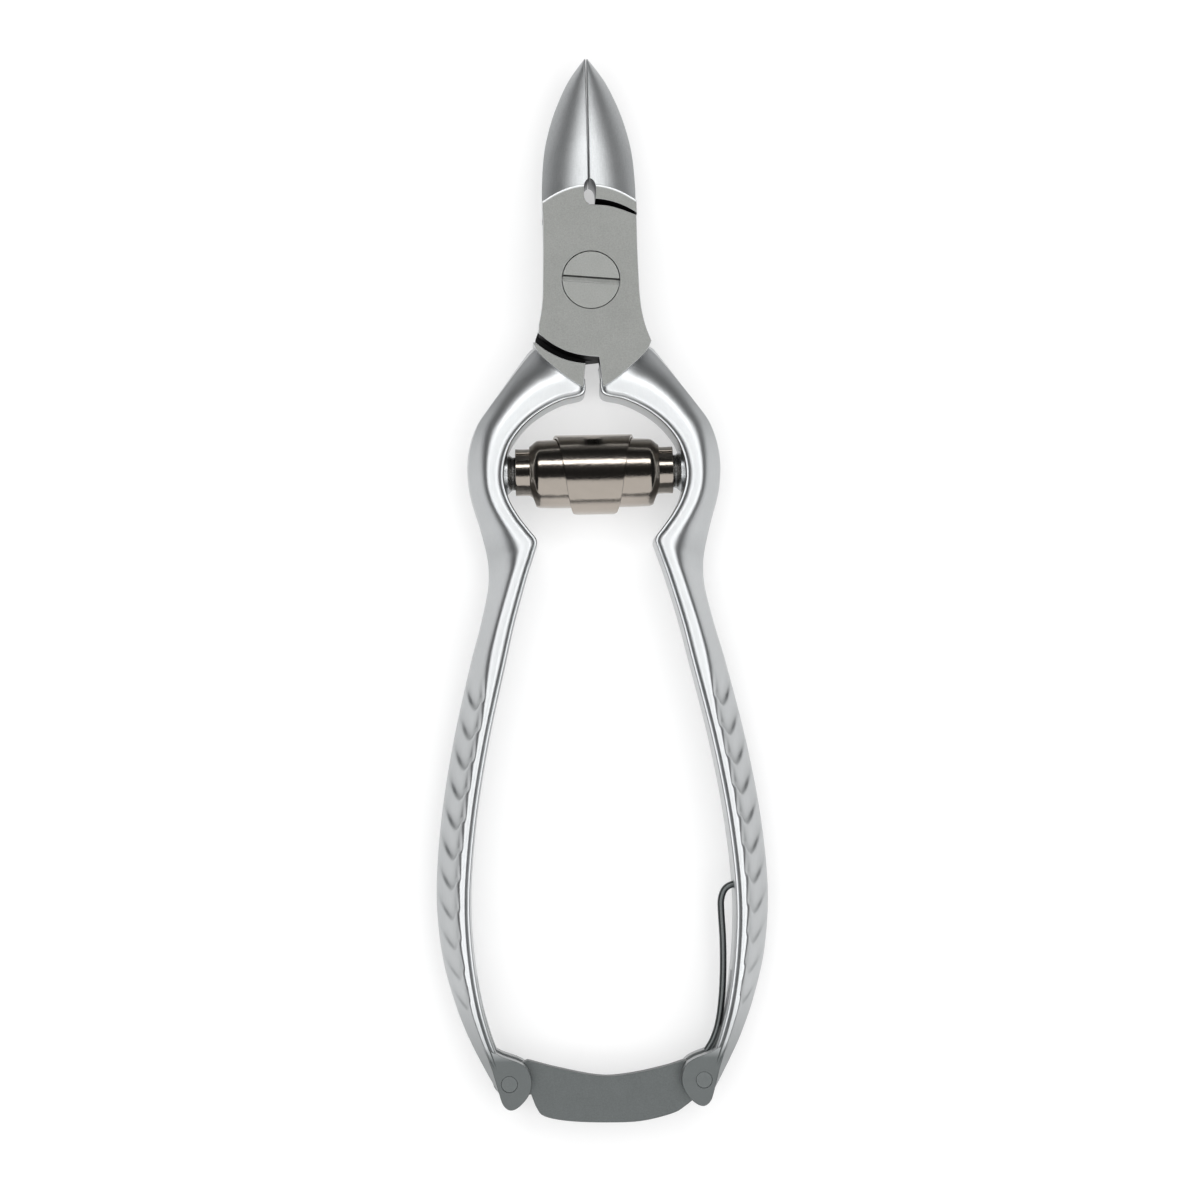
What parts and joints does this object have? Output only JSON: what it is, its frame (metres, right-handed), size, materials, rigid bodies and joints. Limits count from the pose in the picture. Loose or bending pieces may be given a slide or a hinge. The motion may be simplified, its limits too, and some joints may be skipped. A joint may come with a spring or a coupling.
{
  "type": "nail nipper",
  "caption": "Pedicure nail nipper: two forged levers on a lap joint, a barrel spring between the handles and a catch bar across their ends.",
  "frame": {"origin": "on the surface the tool lies on, under the middle of its box", "axes": "+Y along the tool towards the jaw tips, +X to the right seen from the front face, +Z out of the front face, which carries the screw head"},
  "size_m": [0.0436, 0.1405, 0.0107],
  "materials": {
    "satin_chrome": "satin chrome plate on forged steel",
    "ground_steel": "fine matte ground steel",
    "dark_steel": "darker satin steel",
    "bright_nickel": "polished nickel-plated spring strip"
  },
  "bodies": {
    "front": {"front_lever": "satin_chrome", "barrel_spring": "bright_nickel", "spring_seat_right": "satin_chrome", "catch_rivet": "dark_steel", "catch_spring": "dark_steel"},
    "rear": {"rear_lever": "satin_chrome", "pivot_screw": "ground_steel", "spring_seat_left": "satin_chrome", "keeper_pin": "dark_steel"},
    "catch": {"catch_bar": "dark_steel"}
  },
  "joints": [
    {"name": "lever_pivot", "type": "hinge", "parent": "front", "child": "rear", "pos_m": [0, 0.04025, 0.00535], "axis": [0, 0, -1], "range_deg": [0, 18], "deforming": ["barrel_spring"]},
    {"name": "catch_swing", "type": "hinge", "parent": "front", "child": "catch", "pos_m": [0.0127, -0.06465, 0.00535], "axis": [0, 0, 1], "range_deg": [0, 108]}
  ],
  "couplings": [
    {"joint": "catch_swing", "follows": "lever_pivot", "ratio": 6}
  ]
}
